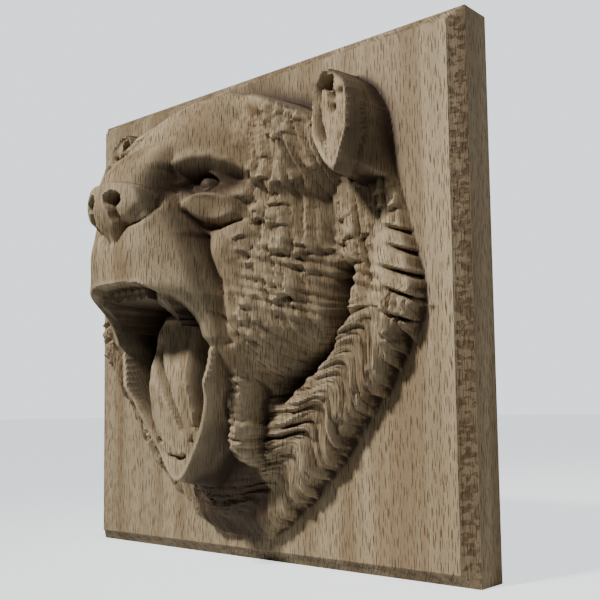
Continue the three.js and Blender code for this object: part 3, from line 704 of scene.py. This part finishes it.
    # what stands up or lies low in the surface, in parts of its relief
    height = 0.0
    for value, rise in (
            (noise["fibres"], 1.0), (noise["speckle"], 1.5), (fleck, -1.0), (hairLine, -3.0), (torn, -3.0)):
        height = addNode(tree, "ShaderNodeMath", {"operation": "MULTIPLY_ADD"}, {
            0: value, 1: rise, 2: height}).outputs[0]
    bump = addNode(tree, "ShaderNodeBump", inputs={
        "Height": height, "Strength": 0.5, "Distance": beechWood["relief"] * mm})
    shader = addNode(tree, "ShaderNodeBsdfPrincipled", inputs={
        "Base Color": colour, "Roughness": beechWood["roughness"], "Specular IOR Level": 0.4,
        "Normal": bump.outputs[0]})
    addNode(tree, "ShaderNodeOutputMaterial", inputs={"Surface": shader.outputs[0]})
    return wood


plaque = carvedPlaque()
plaque.data.materials.append(beech())
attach(plaque, "root")
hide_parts(board["node"])
print("plaque made", len(plaque.data.polygons), "faces")

# floor, light and camera, in metres
studio = {
    "floorColour": "#cfd3d4",
    "skyColour": "#dbe2e6",
    "keyColour": "#fff6ea",
    "fillColour": "#fff3e2",
    "keyPlace": (-0.16, -0.9, 0.74),
    "keyAim": (0.09, 0, 0.06),
    "keyRadius": 0.07,
    "keyAngle": 34,
    "keyPower": 76,
    "fillPlace": (0.42, 0.42, 0.25),
    "fillSize": 0.15,
    "fillPower": 0.9,
    "skyStrength": 0.045,
    "skySeen": 2.0,
    "floorSeen": 1.7,
}


def paleFloor():
    bm = bmesh.new()
    bmesh.ops.create_grid(bm, x_segments=1, y_segments=1, size=6)
    bmesh.ops.translate(bm, vec=(0, 0, -halfHeight * mm), verts=bm.verts)
    mesh = bpy.data.meshes.new("paleFloor")
    bm.to_mesh(mesh)
    bm.free()
    floor = bpy.data.objects.new("paleFloor", mesh)
    paint = bpy.data.materials.new("paleFloorPaint")
    paint.use_nodes = True
    shader = paint.node_tree.nodes["Principled BSDF"]
    shader.inputs["Base Color"].default_value = linear(studio["floorColour"])
    shader.inputs["Roughness"].default_value = 0.9
    # a glow that only the camera sees keeps the floor pale far away, and lights nothing
    tree = paint.node_tree
    seen = addNode(tree, "ShaderNodeLightPath").outputs["Is Camera Ray"]
    shader.inputs["Emission Color"].default_value = linear(studio["skyColour"])
    glow = addNode(tree, "ShaderNodeMath", {"operation": "MULTIPLY"}, {
        0: seen, 1: studio["floorSeen"]}).outputs[0]
    tree.links.new(glow, shader.inputs["Emission Strength"])
    mesh.materials.append(paint)
    bpy.context.scene.collection.objects.link(floor)
    floor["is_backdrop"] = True


def hung(name, lamp, place, aim, power, colour):
    lamp.energy = power
    lamp.color = linear(colour)[:3]
    holder = bpy.data.objects.new(name, lamp)
    holder.location = place
    holder.rotation_euler = (Vector(aim) - Vector(place)).to_track_quat("-Z", "Y").to_euler()
    bpy.context.scene.collection.objects.link(holder)


def softLights():
    key = bpy.data.lights.new("keyLight", "SPOT")
    key.shadow_soft_size = studio["keyRadius"]
    key.spot_size = math.radians(studio["keyAngle"])
    key.spot_blend = 1
    hung("keyLight", key, studio["keyPlace"], studio["keyAim"], studio["keyPower"], studio["keyColour"])
    fill = bpy.data.lights.new("fillLight", "AREA")
    fill.shape = "DISK"
    fill.size = studio["fillSize"]
    hung("fillLight", fill, studio["fillPlace"], (0, 0, 0), studio["fillPower"], studio["fillColour"])


def paleSky():
    world = bpy.data.worlds.new("paleSky")
    world.use_nodes = True
    tree = world.node_tree
    tree.nodes["Background"].inputs["Color"].default_value = linear(studio["skyColour"])
    seen = addNode(tree, "ShaderNodeLightPath").outputs["Is Camera Ray"]   # it looks pale, but lights little
    strength = addNode(tree, "ShaderNodeMapRange", inputs={
        "Value": seen, "To Min": studio["skyStrength"], "To Max": studio["skySeen"]}).outputs["Result"]
    tree.links.new(strength, tree.nodes["Background"].inputs["Strength"])
    bpy.context.scene.world = world


photoCamera = {
    "place": (0.1881, -0.2129, -0.0304),
    "azimuth": 42.09,
    "elevation": -4.96,
    "roll": -0.57,
    "focalPixels": 896.2,
    "middlePixel": (270.2, 333.2),
    "imagePixels": 600,
}


def cameraAtPhoto():
    lens = bpy.data.cameras.new("photoCamera")
    size = photoCamera["imagePixels"]
    lens.sensor_width = 36
    lens.lens = photoCamera["focalPixels"] / size * lens.sensor_width
    lens.shift_x = (size / 2 - photoCamera["middlePixel"][0]) / size
    lens.shift_y = (photoCamera["middlePixel"][1] - size / 2) / size
    lens.clip_start = 0.01
    camera = bpy.data.objects.new("photoCamera", lens)
    azimuth, elevation = math.radians(photoCamera["azimuth"]), math.radians(photoCamera["elevation"])
    toObject = Vector((-math.sin(azimuth) * math.cos(elevation), math.cos(azimuth) * math.cos(elevation),
                       -math.sin(elevation)))
    roll = Euler((0, 0, math.radians(photoCamera["roll"]))).to_matrix()
    turn = toObject.to_track_quat("-Z", "Y").to_matrix() @ roll
    camera.location = photoCamera["place"]
    camera.rotation_euler = turn.to_euler()
    bpy.context.scene.collection.objects.link(camera)
    bpy.context.scene.camera = camera


paleFloor()
paleSky()
softLights()
cameraAtPhoto()
print("studio set")

shownBox = [list(corner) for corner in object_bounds()]
